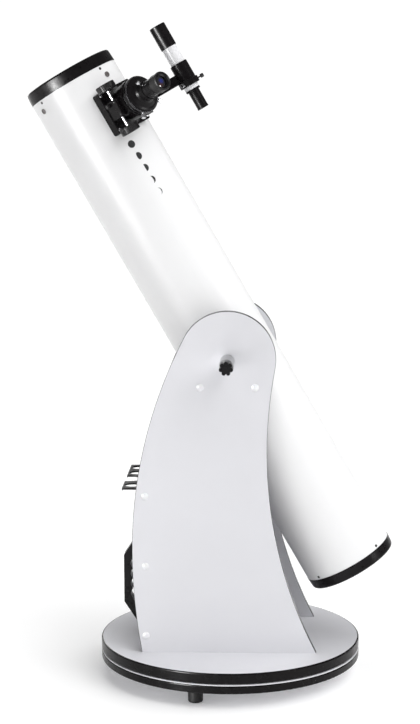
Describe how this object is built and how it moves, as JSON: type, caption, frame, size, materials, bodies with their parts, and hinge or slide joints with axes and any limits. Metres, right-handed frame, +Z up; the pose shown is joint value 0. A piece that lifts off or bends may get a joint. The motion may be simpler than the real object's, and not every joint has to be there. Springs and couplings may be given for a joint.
{
  "type": "dobsonian telescope",
  "caption": "Reflector telescope with a solid tube on a rocker box that turns on a round base, with focuser, finder and eyepiece rack.",
  "frame": {"origin": "on the floor, on the azimuth axis, under the centre of the round base boards", "axes": "+Z up; +Y along the altitude axis, away from the tension knob; the tube leans towards -X at rest, 60.2 degrees above the horizon"},
  "size_m": [0.7113, 0.5176, 1.2847],
  "materials": {
    "white_melamine": "satin white melamine faced board, faint grey-lilac tone",
    "black_edge_band": "glossy black plastic edge band",
    "white_enamel": "glossy white enamel, thin printed black icons near the top",
    "black_plastic": "fine-grained moulded black plastic",
    "black_anodised": "satin black anodised",
    "black_cast_paint": "black crinkle paint on cast aluminium",
    "black_rubber": "soft matte black rubber",
    "bright_screw": "bright plated",
    "spring_steel": "zinc plated spring wire",
    "grey_metal": "satin machined",
    "white_plastic": "glossy white",
    "slick_pad": "slippery white fluoropolymer",
    "mirror_glass": "aluminised front on clear glass",
    "coated_glass": "clear, blue and red coating glints"
  },
  "bodies": {
    "ground_base": {"ground_board": "white_melamine", "ground_edge_trim": "black_edge_band", "feet": "black_rubber", "foot_screws": "bright_screw", "bearing_pads": "slick_pad", "azimuth_bolt": "bright_screw"},
    "rocker_box": {"turntable_board": "white_melamine", "turntable_edge_trim": "black_edge_band", "side_board_near": "white_melamine", "side_board_far": "white_melamine", "side_edge_trims": "black_edge_band", "front_panel": "white_melamine", "screw_caps": "white_plastic", "board_screws": "bright_screw", "altitude_cradles": "black_plastic", "eyepiece_rack": "black_plastic", "carry_handle": "black_plastic", "tension_sleeve": "grey_metal", "tension_spring": "spring_steel"},
    "optical_tube": {"altitude_hubs": "black_plastic", "tube_shell": "white_enamel", "front_end_ring": "black_plastic", "rear_end_ring": "black_plastic", "tube_screws": "bright_screw", "primary_mirror": "mirror_glass", "mirror_cell": "black_cast_paint", "collimation_springs": "spring_steel", "spider": "black_cast_paint", "secondary_mirror": "mirror_glass", "secondary_holder": "black_plastic", "focuser_housing": "black_cast_paint", "pinion_cover": "black_cast_paint", "focuser_screws": "black_anodised", "finder_shoe": "black_plastic", "finder_bracket": "black_cast_paint", "finder_plunger": "bright_screw", "finder_tube": "white_enamel", "finder_objective_cell": "black_anodised", "finder_objective_lens": "coated_glass", "finder_eyepiece": "black_anodised"},
    "tension_knob": {"tension_knob": "black_plastic"},
    "far_pivot_bolt": {"far_pivot_bolt": "black_plastic"},
    "drawtube": {"drawtube": "black_anodised", "drawtube_collar": "black_anodised", "eyepiece_adapter": "black_anodised", "eyepiece_body": "black_anodised", "eyepiece_eyecup": "black_rubber", "eyepiece_lens": "coated_glass"},
    "focus_pinion": {"focus_pinion": "bright_screw", "focus_knobs": "black_plastic"},
    "focus_lock_screw": {"focus_lock_screw": "black_anodised"},
    "collar_thumbscrew_1": {"collar_thumbscrew_1": "bright_screw"},
    "collar_thumbscrew_2": {"collar_thumbscrew_2": "bright_screw"},
    "adapter_thumbscrew": {"adapter_thumbscrew": "bright_screw"},
    "shoe_lock_screw": {"shoe_lock_screw": "bright_screw"},
    "finder_screw_1": {"finder_screw_1": "black_anodised"},
    "finder_screw_2": {"finder_screw_2": "bright_screw"},
    "collimation_knob_1": {"collimation_knob_1": "black_plastic"},
    "collimation_knob_2": {"collimation_knob_2": "black_plastic"},
    "collimation_knob_3": {"collimation_knob_3": "black_plastic"}
  },
  "joints": [
    {"name": "azimuth", "type": "hinge", "parent": "ground_base", "child": "rocker_box", "pos_m": [0, 0, 0.052], "axis": [0, 0, 1], "continuous": true},
    {"name": "altitude", "type": "hinge", "parent": "rocker_box", "child": "optical_tube", "pos_m": [0, 0, 0.645], "axis": [0, 1, 0], "range_deg": [-60.2, 29.8]},
    {"name": "tension_knob_turn", "type": "hinge", "parent": "optical_tube", "child": "tension_knob", "pos_m": [0, -0.1295, 0.645], "axis": [0, -1, 0], "range_deg": [-360, 0]},
    {"name": "far_pivot_turn", "type": "hinge", "parent": "optical_tube", "child": "far_pivot_bolt", "pos_m": [0, 0.1295, 0.645], "axis": [0, 1, 0], "range_deg": [-360, 0]},
    {"name": "focus_travel", "type": "slide", "parent": "optical_tube", "child": "drawtube", "axis": [0.6136, -0.7071, 0.3514], "range_m": [0, 0.038]},
    {"name": "focus_turn", "type": "hinge", "parent": "optical_tube", "child": "focus_pinion", "pos_m": [-0.2044, -0.10748, 1.12142], "axis": [-0.497, 0, 0.8678], "range_deg": [-454, 0]},
    {"name": "focus_lock_screw_turn", "type": "hinge", "parent": "optical_tube", "child": "focus_lock_screw", "pos_m": [-0.21993, -0.11172, 1.12577], "axis": [-0.6136, -0.7071, -0.3514], "range_deg": [-180, 180]},
    {"name": "collar_thumbscrew_1_turn", "type": "hinge", "parent": "drawtube", "child": "collar_thumbscrew_1", "pos_m": [-0.13272, -0.08919, 1.13693], "axis": [0.7895, 0.5572, -0.2573], "range_deg": [-180, 180]},
    {"name": "collar_thumbscrew_2_turn", "type": "hinge", "parent": "drawtube", "child": "collar_thumbscrew_2", "pos_m": [-0.1562, -0.12159, 1.11274], "axis": [0.1372, -0.3428, -0.9293], "range_deg": [-180, 180]},
    {"name": "adapter_thumbscrew_turn", "type": "hinge", "parent": "drawtube", "child": "adapter_thumbscrew", "pos_m": [-0.16149, -0.13258, 1.16615], "axis": [-0.7321, -0.3428, 0.5886], "range_deg": [-180, 180]},
    {"name": "shoe_lock_screw_turn", "type": "hinge", "parent": "optical_tube", "child": "shoe_lock_screw", "pos_m": [-0.16472, 0.015, 1.13665], "axis": [0, 1, 0], "range_deg": [-180, 180]},
    {"name": "finder_screw_1_turn", "type": "hinge", "parent": "optical_tube", "child": "finder_screw_1", "pos_m": [-0.05894, 0.00174, 1.17937], "axis": [0.8645, 0.0872, 0.4951], "range_deg": [-180, 180]},
    {"name": "finder_screw_2_turn", "type": "hinge", "parent": "optical_tube", "child": "finder_screw_2", "pos_m": [-0.08356, -0.01813, 1.16527], "axis": [-0.3667, -0.9063, -0.21], "range_deg": [-180, 180]},
    {"name": "collimation_knob_1_turn", "type": "hinge", "parent": "optical_tube", "child": "collimation_knob_1", "pos_m": [0.28815, 0.033, 0.25688], "axis": [-0.497, 0, 0.8678], "range_deg": [-360, 360]},
    {"name": "collimation_knob_2_turn", "type": "hinge", "parent": "optical_tube", "child": "collimation_knob_2", "pos_m": [0.18895, 0.033, 0.20007], "axis": [-0.497, 0, 0.8678], "range_deg": [-360, 360]},
    {"name": "collimation_knob_3_turn", "type": "hinge", "parent": "optical_tube", "child": "collimation_knob_3", "pos_m": [0.23855, -0.066, 0.22847], "axis": [-0.497, 0, 0.8678], "range_deg": [-360, 360]}
  ],
  "couplings": [
    {"joint": "focus_turn", "follows": "focus_travel", "rad_per_m": -208.33}
  ]
}
